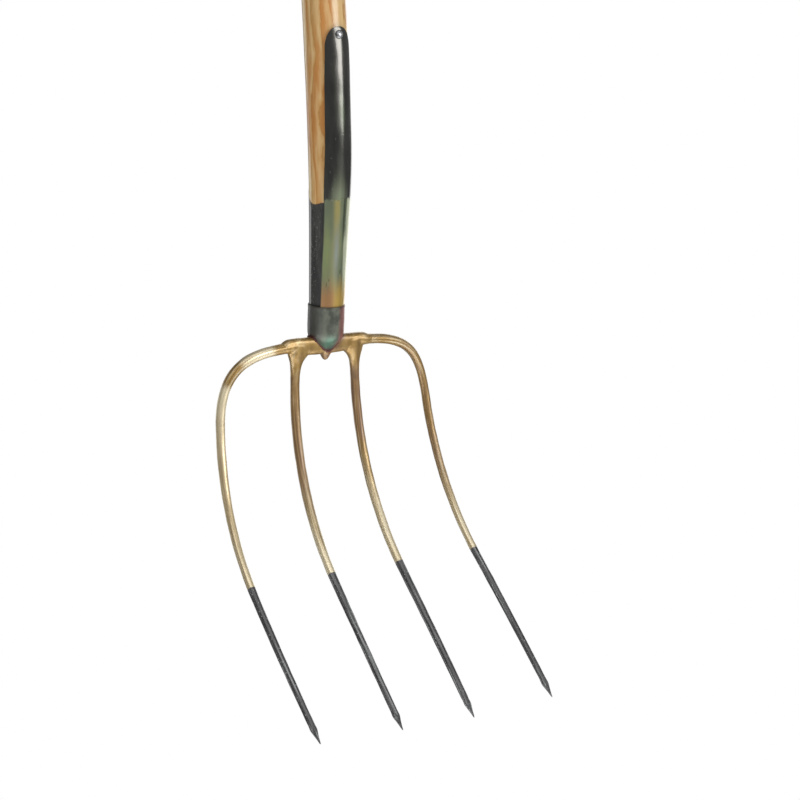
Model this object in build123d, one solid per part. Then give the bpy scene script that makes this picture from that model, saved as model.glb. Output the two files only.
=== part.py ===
"""Four-tine fork with a bent ash handle and a strapped socket, in millimetres.

Row frame: +Z runs up the straight handle, the tines curve forward to -Y and the
tines are spread along X. The origin is on the handle's axis, where it is gripped.

The pieces are drawn in a head frame: its Z runs up the neck of the head, and its
origin is on the neck's axis at the height of the crossbar. Heights "h" are measured
from there along the handle's centreline, which bends back above the socket.
"""
import os
from math import acos, cos, radians, sin, sqrt

from build123d import *

os.makedirs("parts", exist_ok=True)

# ---- Driving dimensions -------------------------------------------------------
HANDLE_R = 18.0          # straight handle
HANDLE_TOP_H = 1372.0    # top of the handle along its centreline
HANDLE_DOME = 7.0        # height of the rounded top end
GRIP_H = 435.0           # where the handle is gripped: the row frame's origin

BEND_START_H = 75.0      # the handle's bend: a single arc
BEND_R = 1340.0
BEND_DEG = 9.0
BEND_END_H = BEND_START_H + BEND_R * radians(BEND_DEG)

TAPER_TOP_H = 245.0      # the handle thins down from here to the neck
TAPER_REF_H = 33.0
TAPER_LOSS = 4.3         # radius lost between those two heights
TAPER_POWER = 1.4

TUBE_WALL = 1.5
SOCKET_FLOOR_H = 8.0     # floor of the neck sleeve, where tube and tang stand
WOOD_FOOT_H = 14.0
RIM_H = 118.6            # lowest point of the tube's scooped rim
RIM_RISE = 25.0          # height of the scoop's half ellipse
RIM_CENTRE_Y = -3.0
RIM_FRONT_Y = -9.0       # in front of this the rim is level, under the front strap

STRAP_T = 1.8
STRAP_SWELL = 1.2        # the front strap is thicker where it steps over the tube's rim
SWELL_H = 148.0
SWELL_HALF = 62.0
STRAP_TOP_H = 260.6
STRAP_FOOT_H = 18.0
STRAP_SIDE = ((STRAP_FOOT_H, 11.8), (40, 12.1), (70, 12.4), (92, 12.4), (112, 12.8),
              (128, 13.4), (145, 13.5), (170, 13.1), (200, 12.8), (225, 12.5), (243, 11.9))  # h, half width
REAR_STRAP_ANGLE = 32.0  # half of the arc that the rear strap covers
REAR_STRAP_HALF = 9.4    # its half width at the round top end

RIVET_H = 254.3
RIVET_SHANK_R = 2.3
RIVET_HEAD_R = 3.6
RIVET_HEAD_HIGH = 1.9
RIVET_TAIL_R = 3.3
RIVET_TAIL_HIGH = 1.2
RIVET_SINK = 0.45        # head and tail hug the curved faces that they close on
WASHER_R = 5.2
WASHER_T = 1.2

SLEEVE_FORWARD = 1.2     # the sleeve's axis lies this far in front of the neck's
SLEEVE_TOP_H = 34.2
TINE_FORWARD = 1.5       # the tines' plane lies this far in front of the neck's axis

TANG_TOP_H = 78.0
TANG_FOOT = 11.0         # square tang, side at its foot and at its top
TANG_TIP = 5.0

BRIDGE_END_X = 37.0
ROOT_END_U = 24.0        # where an inner tine is welded to the bridge's root

# The blank: tines flat, X across and u down, before they are curved forward
CURVE_START_U = 12.0
CURVE_END_U = 201.0
CURVE_DEG = 47.8
BOW_START_U = 56.0        # X = a + b u + c (u - BOW_START_U)^2 on each tine's own side
TINE_X = {"outer_left": (98.62, 0.0858, -1.84e-4), "inner_left": (28.67, 0.0319, -0.43e-4),
          "inner_right": (29.41, 0.0288, -0.71e-4), "outer_right": (98.09, 0.0795, -1.22e-4)}
TINE_LENGTH = {"outer_left": 336.5, "inner_left": 340.2, "inner_right": 343.2, "outer_right": 340.9}
TINE_R = {"outer_left": ((0, 4.5), (30, 4.0), (120, 3.53), (240, 3.05), (320, 2.7)),
          "inner_left": ((0, 3.9), (120, 3.9), (200, 3.4), (240, 3.0), (320, 2.7)),
          "inner_right": ((0, 3.9), (160, 3.7), (240, 3.22), (320, 2.9)),
          "outer_right": ((0, 4.2), (30, 3.6), (140, 3.45), (240, 2.96), (320, 2.65))}     # u, radius
TINE_ROOT_R = 3.85
ARM_START_U = -0.9
ARM_SLOPE = 5.04
ARM_CUT = 47.6            # the corner's curve leaves the arm's line this far before the crossing
TINE_CUT = 51.2           # and meets the tine's line this far after it
CORNER_PULL = 0.72        # share of those lengths that its control points stand from its ends
POINT_LENGTH = 18.0

CLEAR = 90.0             # size of a cutting shape that passes everything it meets


# ---- Centreline and lofts along it ---------------------------------------------
def centre_plane(h):
    """Section plane at height h of the centreline; its Z points up the handle."""
    turn = min(max((h - BEND_START_H) / BEND_R, 0.0), radians(BEND_DEG))
    straight = max(h - BEND_END_H, 0.0)
    y = BEND_R * (1 - cos(turn)) + straight * sin(turn)
    z = min(h, BEND_START_H) + BEND_R * sin(turn) + straight * cos(turn)
    return Plane((0, y, z), x_dir=(1, 0, 0), z_dir=(0, sin(turn), cos(turn)))


def body_radius(h):
    """Outside of the wood and of the tube, which is flush with it."""
    if h >= TAPER_TOP_H:
        return HANDLE_R
    share = (TAPER_TOP_H - h) / (TAPER_TOP_H - TAPER_REF_H)
    return HANDLE_R - TAPER_LOSS * share ** TAPER_POWER


BODY_STATIONS = (SOCKET_FLOOR_H, 33, 55, 75, 95, 112, 130, 150, 170, 190, 208, 226, 236, TAPER_TOP_H, 254, 265,
                 BEND_END_H)


def body_loft(offset, swell=0.0):
    """The tapered, bent lower handle, offset outwards, and more so round the swell."""
    rings = []
    for h in BODY_STATIONS:
        share = max(1 - ((h - SWELL_H) / SWELL_HALF) ** 2, 0.0) ** 2
        rings.append(centre_plane(h) * Circle(body_radius(h) + offset + swell * share))
    return loft(rings)


def face_inside(lines):
    """The flat face inside a closed chain of lines."""
    return Face(Wire([edge for line in lines for edge in line.edges()]))


def side_prism(lines):
    """A closed outline in the Y-Z plane, extruded to both sides along X."""
    return extrude(face_inside(lines), amount=CLEAR / 2, dir=(1, 0, 0), both=True)


def front_prism(lines):
    """A closed outline in the X-Z plane, extruded from there to the front."""
    return extrude(face_inside(lines), amount=CLEAR, dir=(0, -1, 0))


# ---- Handle, socket and straps --------------------------------------------------
def rear_strap_edge(h):
    """Point on the side edge of the rear strap, seen from the side."""
    plane = centre_plane(h)
    return plane.from_local_coords(Vector(0, body_radius(h) * cos(radians(REAR_STRAP_ANGLE)), 0))


def rim_point(y, reach):
    """Point of the tube's scooped rim, seen from the side; reach is the scoop's half width."""
    share = (y - RIM_CENTRE_Y) / reach
    return (0, y, RIM_H + RIM_RISE * (1 - sqrt(max(1 - share * share, 0.0))))


def tube_outline():
    """Side view of everything that belongs to the tube: its body and its rear strap."""
    scoop_top = rear_strap_edge(RIM_H + RIM_RISE)
    reach = scoop_top.Y - RIM_CENTRE_Y
    steps = 12
    front_share = (RIM_FRONT_Y - RIM_CENTRE_Y) / reach
    angles = [acos(front_share) * (1 - i / steps) for i in range(steps + 1)]
    rim = [rim_point(RIM_CENTRE_Y + reach * cos(a), reach) for a in angles]
    rim[-1] = (0, scoop_top.Y, scoop_top.Z)
    strap = [scoop_top] + [rear_strap_edge(h) for h in (170, 200, 230, STRAP_TOP_H + 2)]
    top = strap[-1]
    closing = Polyline((0, top.Y, top.Z), (0, CLEAR, top.Z), (0, CLEAR, 0), (0, -CLEAR, 0),
                       (0, -CLEAR, rim[0][2]), rim[0])
    return side_prism([Spline(*rim), Spline(*strap), closing])


def rear_strap_end():
    """What lies above the round end of the rear strap, to be cut away."""
    plane = centre_plane(STRAP_TOP_H - REAR_STRAP_HALF)
    block = plane * Pos(0, 0, CLEAR / 2) * Box(CLEAR, CLEAR, CLEAR)
    disc = plane * Rot(90, 0, 0) * Cylinder(REAR_STRAP_HALF, CLEAR)
    return block - disc


def front_strap_outline():
    """Front view of the front strap, following the bent centreline."""
    side = [(half, centre_plane(h).origin.Z) for h, half in STRAP_SIDE]
    tip = centre_plane(STRAP_TOP_H).origin.Z
    foot = side[0]
    right = Spline(*[(x, 0, z) for x, z in side])
    left = Spline(*[(-x, 0, z) for x, z in side])
    shoulder = side[-1]
    top = Spline((shoulder[0], 0, shoulder[1]), (8.4, 0, tip - 4.2), (0, 0, tip),
                 (-8.4, 0, tip - 4.2), (-shoulder[0], 0, shoulder[1]))
    bottom = Line((foot[0], 0, foot[1]), (-foot[0], 0, foot[1]))
    return front_prism([right, top, left, bottom])


def make_straps_and_handle():
    """The wood, the tube with its rear strap, and the front strap over both."""
    body = body_loft(0)
    shell = body - body_loft(-TUBE_WALL)
    tube = (shell & tube_outline()) - rear_strap_end()
    strap = (body_loft(STRAP_T, STRAP_SWELL) - body) & front_strap_outline()

    end = centre_plane(BEND_END_H)
    straight = HANDLE_TOP_H - BEND_END_H
    side = straight - HANDLE_DOME
    profile = [Line((0, 0, 0), (HANDLE_R, 0, 0)), Line((HANDLE_R, 0, 0), (HANDLE_R, 0, side)),
               Spline((HANDLE_R, 0, side), (HANDLE_R * 0.8, 0, side + HANDLE_DOME * 0.72),
                      (0, 0, straight), tangents=((0, 0, 1), (-1, 0, 0))),
               Line((0, 0, straight), (0, 0, 0))]
    upper = end * revolve(face_inside(profile), Axis.Z, 360)
    foot_cut = Pos(0, 0, WOOD_FOOT_H / 2) * Box(CLEAR, CLEAR, WOOD_FOOT_H)
    wood = body + upper - tube - foot_cut - tang_solid()

    hole = rivet_axis() * Cylinder(RIVET_SHANK_R, CLEAR)
    return wood - hole, tube - hole, strap - hole


def rivet_axis():
    """Location of the rivet: its Z points out of the front strap."""
    return centre_plane(RIVET_H) * Rot(90, 0, 0)


def dome(radius, height):
    """Spherical cap standing on the X-Y plane."""
    ball = (radius * radius + height * height) / (2 * height)
    return Pos(0, 0, height - ball) * Sphere(ball) & Pos(0, 0, height / 2) * Cylinder(radius, height)


def make_rivet():
    """Front head, shank through handle and straps, and the peened tail over its washer."""
    at = rivet_axis()
    front = HANDLE_R + STRAP_T
    back = HANDLE_R + WASHER_T
    around = body_loft(WASHER_T) & at * Pos(0, 0, -HANDLE_R) * Cylinder(WASHER_R, HANDLE_R)
    washer = around - body_loft(0) - at * Cylinder(RIVET_SHANK_R, CLEAR)

    shank = Pos(0, 0, (front - back) / 2) * Cylinder(RIVET_SHANK_R, front + back + RIVET_SINK)
    head = Pos(0, 0, front - RIVET_SINK) * dome(RIVET_HEAD_R, RIVET_HEAD_HIGH + RIVET_SINK)
    tail = Rot(180, 0, 0) * Pos(0, 0, back - RIVET_SINK) * dome(RIVET_TAIL_R, RIVET_TAIL_HIGH + RIVET_SINK)
    rivet = at * shank + (at * head - body_loft(STRAP_T)) + (at * tail - around)
    return rivet, washer


# ---- Neck sleeve and tang ---------------------------------------------------------
def sleeve_solid():
    """The sleeve's outside: a collar that closes to a cone over the bridge."""
    profile = Polyline((0, -5.9), (4.2, -5.9), (15.1, 6.6), (15.4, SLEEVE_TOP_H),
                       (0, SLEEVE_TOP_H), close=True)
    return Pos(0, -SLEEVE_FORWARD, 0) * revolve(Plane.XZ * make_face(profile), Axis.Z, 360)


def stub_solid():
    """The driven point that stands out under the middle of the bridge."""
    profile = Polyline((0, -13.2), (0.9, -12.8), (4.4, -7.0), (0, -7.0), close=True)
    return Pos(0, -TINE_FORWARD, 0) * revolve(Plane.XZ * make_face(profile), Axis.Z, 360)


def tang_solid():
    """Square tapered tang, standing on the sleeve's floor inside the wood."""
    foot = Pos(0, 0, SOCKET_FLOOR_H) * Rectangle(TANG_FOOT, TANG_FOOT)
    tip = Pos(0, 0, TANG_TOP_H) * Rectangle(TANG_TIP, TANG_TIP)
    return loft([foot, tip])


def make_sleeve(strap, bridge):
    """The sleeve round the foot of the tube and of the front strap, and over the bridge."""
    return sleeve_solid() - body_loft(0) - strap - bridge


# ---- Head: bridge and tines ---------------------------------------------------------
def curve_point(u):
    """Forward and downward travel, and turn, after a length u of the curved blank."""
    turn_end = radians(CURVE_DEG)
    radius = (CURVE_END_U - CURVE_START_U) / turn_end
    turn = min(max((u - CURVE_START_U) / radius, 0.0), turn_end)
    after = max(u - CURVE_END_U, 0.0)
    forward = radius * (1 - cos(turn)) + after * sin(turn)
    down = min(u, CURVE_START_U) + radius * sin(turn) + after * cos(turn)
    return forward, down, turn


def blank_plane(x, u, dx, du):
    """Section plane of a bar on the curved blank, at (x, u) and running along (dx, du)."""
    forward, down, turn = curve_point(u)
    along = Vector(dx, -du * sin(turn), -du * cos(turn))
    across_sheet = Vector(0, cos(turn), -sin(turn))
    return Plane((x, -TINE_FORWARD - forward, -down), x_dir=across_sheet, z_dir=along)


def tine_line(law, u, side):
    """Place and direction of a tine's centre at u, on one side of the fork."""
    a, b, c = law
    bow = max(u - BOW_START_U, 0.0)
    return side * (a + b * u + c * bow * bow), u, side * (b + 2 * c * bow), 1.0


def arm_corner(law):
    """The four control points (x, u) of the curve that turns an arm into its tine."""
    a, b, _ = law
    slope = radians(ARM_SLOPE)
    reach = (a + b * ARM_START_U - BRIDGE_END_X) / (cos(slope) - b * sin(slope))
    x, u = BRIDGE_END_X + reach * cos(slope), ARM_START_U + reach * sin(slope)
    size = sqrt(1 + b * b)
    arm = [(x - cut * cos(slope), u - cut * sin(slope)) for cut in (ARM_CUT, ARM_CUT * (1 - CORNER_PULL))]
    tine = [(x + cut * b / size, u + cut / size) for cut in (TINE_CUT * (1 - CORNER_PULL), TINE_CUT)]
    return arm + tine


def on_corner(points, share):
    """Place and direction (x, u, dx, du) at a share of the way along that curve."""
    rest = 1 - share
    place = [rest ** 3 * p + 3 * rest ** 2 * share * q + 3 * rest * share ** 2 * r + share ** 3 * s
             for p, q, r, s in zip(*points)]
    heading = [rest ** 2 * (q - p) + 2 * rest * share * (r - q) + share ** 2 * (s - r)
               for p, q, r, s in zip(*points)]
    return (*place, *heading)


def outer_stations(name, side):
    """Stations of an outer tine: the end of the bridge, the corner, then the long tine."""
    law = TINE_X[name]
    corner = arm_corner(law)
    stations = [(side * BRIDGE_END_X, ARM_START_U, side * 1.0, 0.0)]
    bows = 10
    for i in range(bows):
        x, u, dx, du = on_corner(corner, i / bows)
        stations.append((side * x, u, side * dx, du))
    stations += [tine_line(law, u, side) for u in tine_heights(corner[3][1], TINE_LENGTH[name])]
    return stations


def tine_heights(first, length):
    """Evenly spread stations down a tine, as far as the start of its point."""
    last = length - POINT_LENGTH
    count = 13
    return [first + (last - first) * i / (count - 1) for i in range(count)]


def tine_radius(name, u):
    """Radius of a tine at u, in straight lines between its given places."""
    table = TINE_R[name]
    for (p, a), (q, b) in zip(table, table[1:]):
        if u <= q:
            return a + (b - a) * max(u - p, 0.0) / (q - p)
    return table[-1][1]


def bar_loft(name, stations, side):
    """Loft a round bar over its stations, then draw it out to a flattened point."""
    sections = [blank_plane(*station) * Circle(tine_radius(name, station[1])) for station in stations]
    for back, deep, wide in ((13.5, 2.45, 3.15), (8.0, 1.75, 2.3), (3.5, 0.95, 1.15), (0.0, 0.25, 0.3)):
        plane = blank_plane(*tine_line(TINE_X[name], TINE_LENGTH[name] - back, side))
        sections.append(plane * Ellipse(deep, wide))
    return loft(sections)


def make_outer_tine(name, side):
    """One outer tine with its arm, from the end of the bridge to the point."""
    return bar_loft(name, outer_stations(name, side), side)


def make_inner_tine(name, side):
    """One inner tine, from its weld below the bridge to the point."""
    heights = tine_heights(ROOT_END_U, TINE_LENGTH[name])
    return bar_loft(name, [tine_line(TINE_X[name], u, side) for u in heights], side)


def make_bridge():
    """The thick forged middle of the crossbar with the flared roots of the inner tines."""
    ribs = ((0.0, 0.0, 15.2, 10.0), (14.8, 0.1, 15.0, 9.6), (29.6, 0.9, 12.9, 9.0),
            (BRIDGE_END_X, 2.0, 10.4, 8.6))     # x, middle, height and depth of one half
    sections = []
    for x, middle, tall, deep in [(-x, *rest) for x, *rest in ribs[:0:-1]] + list(ribs):
        plane = Plane((x, -TINE_FORWARD, middle), x_dir=(0, 1, 0), z_dir=(1, 0, 0))
        sections.append(plane * RectangleRounded(deep, tall, deep * 0.42))
    bridge = loft(sections)
    flare = ((3.5, 7.3, 11.0), (6.5, 7.2, 10.4), (9, 6.6, 8.8), (11.5, 5.8, 7.0), (15.5, 4.8, 5.2),
             (19.5, 4.2, 4.3), (ROOT_END_U, TINE_ROOT_R, TINE_ROOT_R))     # u, reach outwards and inwards
    for side, name in ((-1, "inner_left"), (1, "inner_right")):
        rings = []
        for u, outwards, inwards in flare:
            x, _, dx, du = tine_line(TINE_X[name], u, side)
            plane = blank_plane(x + side * (outwards - inwards) / 2, u, dx, du)
            rings.append(plane * Ellipse(TINE_ROOT_R, (outwards + inwards) / 2))
        bridge += loft(rings)
    return bridge + stub_solid()


# ---- Write the nodes ------------------------------------------------------------------
def to_row(shape):
    """Move a piece from the head frame to the row frame."""
    grip = centre_plane(GRIP_H).origin
    return Rot(BEND_DEG, 0, 0) * Pos(0, -grip.Y, -grip.Z) * shape


def main():
    handle, tube, strap = make_straps_and_handle()
    rivet, washer = make_rivet()
    bridge = make_bridge()
    nodes = {
        "handle": handle,
        "socket_tube": tube,
        "front_strap": strap,
        "strap_rivet": rivet,
        "rivet_washer": washer,
        "neck_sleeve": make_sleeve(strap, bridge),
        "tang": tang_solid(),
        "bridge": bridge,
    }
    for side, name in ((-1, "left"), (1, "right")):
        nodes["tine_outer_" + name] = make_outer_tine("outer_" + name, side)
        nodes["tine_inner_" + name] = make_inner_tine("inner_" + name, side)
    for name, shape in nodes.items():
        placed = to_row(shape)
        export_step(placed, "parts/" + name + ".step")
        box = placed.bounding_box()
        print(name, len(placed.solids()), round(placed.volume), box)


main()
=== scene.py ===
"""Four-tine fork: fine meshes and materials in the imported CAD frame.

Head frame, in millimetres: Z runs up the neck of the head from the crossbar, and the
tines curve forward to -Y. Heights "h" follow the handle's bent centreline. Each piece
keeps a "rest" attribute: where its vertices lie when the piece is unbent, in
millimetres, so that grain, streaks and wear follow the shape.
"""
from math import acos, asin, ceil, copysign, cos, exp, hypot, log, pi, radians, sin, sqrt, tan

import bmesh
import bpy
from mathutils import Matrix, Vector, noise


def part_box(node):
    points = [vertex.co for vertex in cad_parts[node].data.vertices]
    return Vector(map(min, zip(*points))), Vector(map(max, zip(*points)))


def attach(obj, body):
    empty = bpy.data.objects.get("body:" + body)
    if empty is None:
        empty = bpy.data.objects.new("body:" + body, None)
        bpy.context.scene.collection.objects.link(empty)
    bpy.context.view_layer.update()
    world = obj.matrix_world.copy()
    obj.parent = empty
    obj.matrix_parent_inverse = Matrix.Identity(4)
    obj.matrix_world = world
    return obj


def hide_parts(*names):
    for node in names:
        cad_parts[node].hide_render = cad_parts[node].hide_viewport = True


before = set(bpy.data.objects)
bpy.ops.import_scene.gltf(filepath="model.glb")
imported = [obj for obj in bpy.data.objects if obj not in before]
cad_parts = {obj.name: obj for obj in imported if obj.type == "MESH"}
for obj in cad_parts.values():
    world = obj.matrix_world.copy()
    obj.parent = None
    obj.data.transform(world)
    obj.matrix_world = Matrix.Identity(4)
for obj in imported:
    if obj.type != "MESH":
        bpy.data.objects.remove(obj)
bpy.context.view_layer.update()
MM = 0.001

# ---- Driving dimensions, the same as the CAD model's ----
HANDLE_R = 18.0
HANDLE_TOP_H = 1372.0
HANDLE_DOME = 7.0
GRIP_H = 435.0
BEND_START_H = 75.0
BEND_R = 1340.0
BEND_ANGLE = radians(9.0)
BEND_END_H = BEND_START_H + BEND_R * BEND_ANGLE
TAPER_TOP_H = 245.0
TAPER_REF_H = 33.0
TAPER_LOSS = 4.3
TAPER_POWER = 1.4

TUBE_WALL = 1.5
RIM_H = 118.6
RIM_RISE = 25.0
RIM_CENTRE_Y = -3.0
RIM_FRONT_Y = -9.0
STRAP_T = 1.8
STRAP_SWELL = 1.2
SWELL_H = 148.0
SWELL_HALF = 62.0
STRAP_TOP_H = 260.6
STRAP_SIDE = ((18.0, 11.8), (40, 12.1), (70, 12.4), (92, 12.4), (112, 12.8), (128, 13.4), (145, 13.5),
              (170, 13.1), (200, 12.8), (225, 12.5), (243, 11.9))  # h, half width
REAR_ANGLE = radians(32.0)
REAR_HALF = 9.4
RIVET_H = 254.3
RIVET_HEAD = (3.6, 1.9)  # radius, height
RIVET_TAIL = (3.3, 1.2)
WASHER_R = 5.2
WASHER_T = 1.2
SLEEVE_FORWARD = 1.2
SLEEVE_TOP_H = 34.2
CONE_TOP = (15.1, 6.6)  # radius and h where the sleeve turns into its cone
CONE_FOOT = (4.2, -5.9)
TINE_FORWARD = 1.5
BRIDGE_END_X = 37.0
ROOT_END_U = 24.0
CURVE_START_U = 12.0
CURVE_END_U = 201.0
CURVE_ANGLE = radians(47.8)
CURVE_R = (CURVE_END_U - CURVE_START_U) / CURVE_ANGLE
BOW_START_U = 56.0
TINE_X = {"outer_left": (98.62, 0.0858, -1.84e-4), "inner_left": (28.67, 0.0319, -0.43e-4),
          "inner_right": (29.41, 0.0288, -0.71e-4), "outer_right": (98.09, 0.0795, -1.22e-4)}
TINE_LENGTH = {"outer_left": 336.5, "inner_left": 340.2, "inner_right": 343.2, "outer_right": 340.9}
TINE_R = {"outer_left": ((0, 4.5), (30, 4.0), (120, 3.53), (240, 3.05), (320, 2.7)),
          "inner_left": ((120, 3.9), (200, 3.4), (240, 3.0), (320, 2.7)),
          "inner_right": ((0, 3.9), (160, 3.7), (240, 3.22), (320, 2.9)),
          "outer_right": ((0, 4.2), (30, 3.6), (140, 3.45), (240, 2.96), (320, 2.65))}  # u, radius
ARM_START_U = -0.9
ARM_SLOPE = radians(5.04)
ARM_CUT = 47.6
TINE_CUT = 51.2
CORNER_PULL = 0.72
DIP_U = 193.4  # the black dip covers each tine from here to its point
ROOT_DRAWING = 0.12  # how streaky the lacquer is on the bridge; 1 is on the long bars


# ---- Places in the head frame ----
def centreline(h):
    """Y, Z and turn of the handle's centreline at height h."""
    turn = min(max((h - BEND_START_H) / BEND_R, 0.0), BEND_ANGLE)
    straight = max(h - BEND_END_H, 0.0)
    y = BEND_R * (1 - cos(turn)) + straight * sin(turn)
    z = min(h, BEND_START_H) + BEND_R * sin(turn) + straight * cos(turn)
    return y, z, turn


def along_handle(x, y, h):
    """The point that lies at (x, y, h) when the handle is unbent."""
    centre_y, centre_z, turn = centreline(h)
    return Vector((x, centre_y + y * cos(turn), centre_z - y * sin(turn)))


def body_radius(h):
    """Outside of the wood and of the tube, which is flush with it."""
    share = max(TAPER_TOP_H - h, 0.0) / (TAPER_TOP_H - TAPER_REF_H)
    return HANDLE_R - TAPER_LOSS * share ** TAPER_POWER


GRIP_Y, GRIP_Z, _ = centreline(GRIP_H)
HEAD_TO_ROW = (Matrix.Scale(MM, 4) @ Matrix.Rotation(BEND_ANGLE, 4, "X")
               @ Matrix.Translation((0, -GRIP_Y, -GRIP_Z)))


def on_curve(u):
    """Forward and downward travel, and turn, after a length u of the curved blank."""
    turn = min(max((u - CURVE_START_U) / CURVE_R, 0.0), CURVE_ANGLE)
    after = max(u - CURVE_END_U, 0.0)
    forward = CURVE_R * (1 - cos(turn)) + after * sin(turn)
    down = min(u, CURVE_START_U) + CURVE_R * sin(turn) + after * cos(turn)
    return forward, down, turn


def blank_frame(x, u, dx, du):
    """Centre, sheet normal and sideways direction of a bar at (x, u) on the blank."""
    forward, down, turn = on_curve(u)
    along = Vector((dx, -du * sin(turn), -du * cos(turn))).normalized()
    normal = Vector((0, cos(turn), -sin(turn)))
    return Vector((x, -TINE_FORWARD - forward, -down)), normal, along.cross(normal)


def blend(a, b, share):
    """Smooth step from a to b as share goes from 0 to 1."""
    share = min(max(share, 0.0), 1.0)
    return a + (b - a) * share * share * (3 - 2 * share)


def between(points, at, eased=False):
    """Value at a place on a chain of (place, value) points, in straight or eased steps."""
    for (p, a), (q, b) in zip(points, points[1:]):
        if at <= q:
            share = max(at - p, 0.0) / (q - p)
            return blend(a, b, share) if eased else a + (b - a) * share
    return points[-1][1]


def chain(points, at):
    """Value at a place on a chain of (place, value) points, on a curve through them."""
    last = len(points) - 2
    k = max(min(sum(at > place for place, _ in points) - 1, last), 0)
    (p, a), (q, b) = points[k], points[k + 1]
    before = points[k - 1] if k else (2 * p - q, 2 * a - b)
    after = points[k + 2] if k < last else (2 * q - p, 2 * b - a)
    share = min(max((at - p) / (q - p), 0.0), 1.0)
    slope_a = (b - before[1]) / (q - before[0]) * (q - p)
    slope_b = (after[1] - a) / (after[0] - p) * (q - p)
    s2, s3 = share * share, share ** 3
    ends = a * (2 * s3 - 3 * s2 + 1) + b * (3 * s2 - 2 * s3)
    return ends + slope_a * (s3 - 2 * s2 + share) + slope_b * (s3 - s2)


def rough(point, size, depth, seed=0.0):
    """Even irregularity: noise of about that size and depth, the same at every run."""
    return depth * noise.noise(Vector(point) / size + Vector((seed, seed * 1.7, seed * 0.6)))


# ---- Meshes ----
def ring_faces(rings, count):
    """Quads between rings of count vertices each, numbered ring by ring."""
    return [(r * count + i, r * count + (i + 1) % count,
             (r + 1) * count + (i + 1) % count, (r + 1) * count + i)
            for r in range(rings - 1) for i in range(count)]


def grid_faces(columns, tall, first=0):
    """Quads between columns of vertices, each so tall, numbered column by column."""
    corners = [first + c * tall + r for c in range(columns - 1) for r in range(tall - 1)]
    return [(a, a + tall, a + tall + 1, a + 1) for a in corners]


def end_faces(rings, count):
    """The two faces that close the first and the last ring."""
    top = (rings - 1) * count
    return [tuple(range(count))[::-1], tuple(top + k for k in range(count))]


def around(count):
    """Evenly spaced angles of a full turn."""
    return [2 * pi * i / count for i in range(count)]


def make_mesh(name, points, faces, rest, extra=None):
    """Mesh in the row frame from head-frame points, with its rest place and other values."""
    mesh = bpy.data.meshes.new(name)
    mesh.from_pydata([HEAD_TO_ROW @ p for p in points], [], faces)
    values = mesh.attributes.new("rest", "FLOAT_VECTOR", "POINT")
    values.data.foreach_set("vector", [c for p in rest for c in p])
    for key, numbers in (extra or {}).items():
        mesh.attributes.new(key, "FLOAT", "POINT").data.foreach_set("value", numbers)
    mesh.polygons.foreach_set("use_smooth", [True] * len(mesh.polygons))
    mesh.validate()
    return mesh


def mesh_on_handle(name, rest, faces, extra=None):
    """Mesh that follows the bent handle, from the places (x, y, h) on the unbent one."""
    return make_mesh(name, [along_handle(*spot) for spot in rest], faces, rest, extra)


def weld_close(mesh, reach=0.001):
    """Join vertices that lie on each other."""
    work = bmesh.new()
    work.from_mesh(mesh)
    bmesh.ops.remove_doubles(work, verts=work.verts, dist=reach * MM)
    bmesh.ops.recalc_face_normals(work, faces=work.faces)
    work.to_mesh(mesh)
    work.free()


def new_object(data):
    """An object in the scene, named like its mesh, light or camera."""
    item = bpy.data.objects.new(data.name, data)
    bpy.context.scene.collection.objects.link(item)
    return item


def add_piece(mesh, material, replaced=()):
    """Finish a piece: its material, and its ride on the part."""
    piece = new_object(mesh)
    mesh.materials.append(material)
    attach(piece, "root")
    if replaced:
        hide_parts(*replaced)
    return piece


def sheet_metal(piece, thickness, edge, crown=2):
    """Give a one-sided sheet its thickness inwards and round its edges."""
    shell = piece.modifiers.new("thickness", "SOLIDIFY")
    shell.thickness = thickness * MM
    shell.offset = -1.0
    shell.use_even_offset = True
    bevel = piece.modifiers.new("edges", "BEVEL")
    bevel.width = edge * MM
    bevel.segments = crown
    bevel.limit_method = "ANGLE"
    bevel.angle_limit = radians(50)


def lathe(profile, count, axis_y=0.0, wobble=0.0, seed=0.0):
    """Rings of a turned shape about a vertical axis; profile holds (radius, z)."""
    points = []
    for radius, z in profile:
        for angle in around(count):
            away = radius + rough((cos(angle) * 9, sin(angle) * 9, z), 5.0, wobble, seed)
            points.append(Vector((away * sin(angle), axis_y - away * cos(angle), z)))
    return points, ring_faces(len(profile), count)


# ---- Material building ----
def colour(code):
    """Linear colour of an sRGB hex code."""
    parts = [int(code[i:i + 2], 16) / 255 for i in (0, 2, 4)]
    return tuple(((p + 0.055) / 1.055) ** 2.4 if p > 0.04045 else p / 12.92 for p in parts) + (1.0,)


def node_tree(owner):
    """The empty node tree of a material or a world."""
    owner.use_nodes = True
    owner.node_tree.nodes.clear()
    return owner.node_tree


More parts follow.
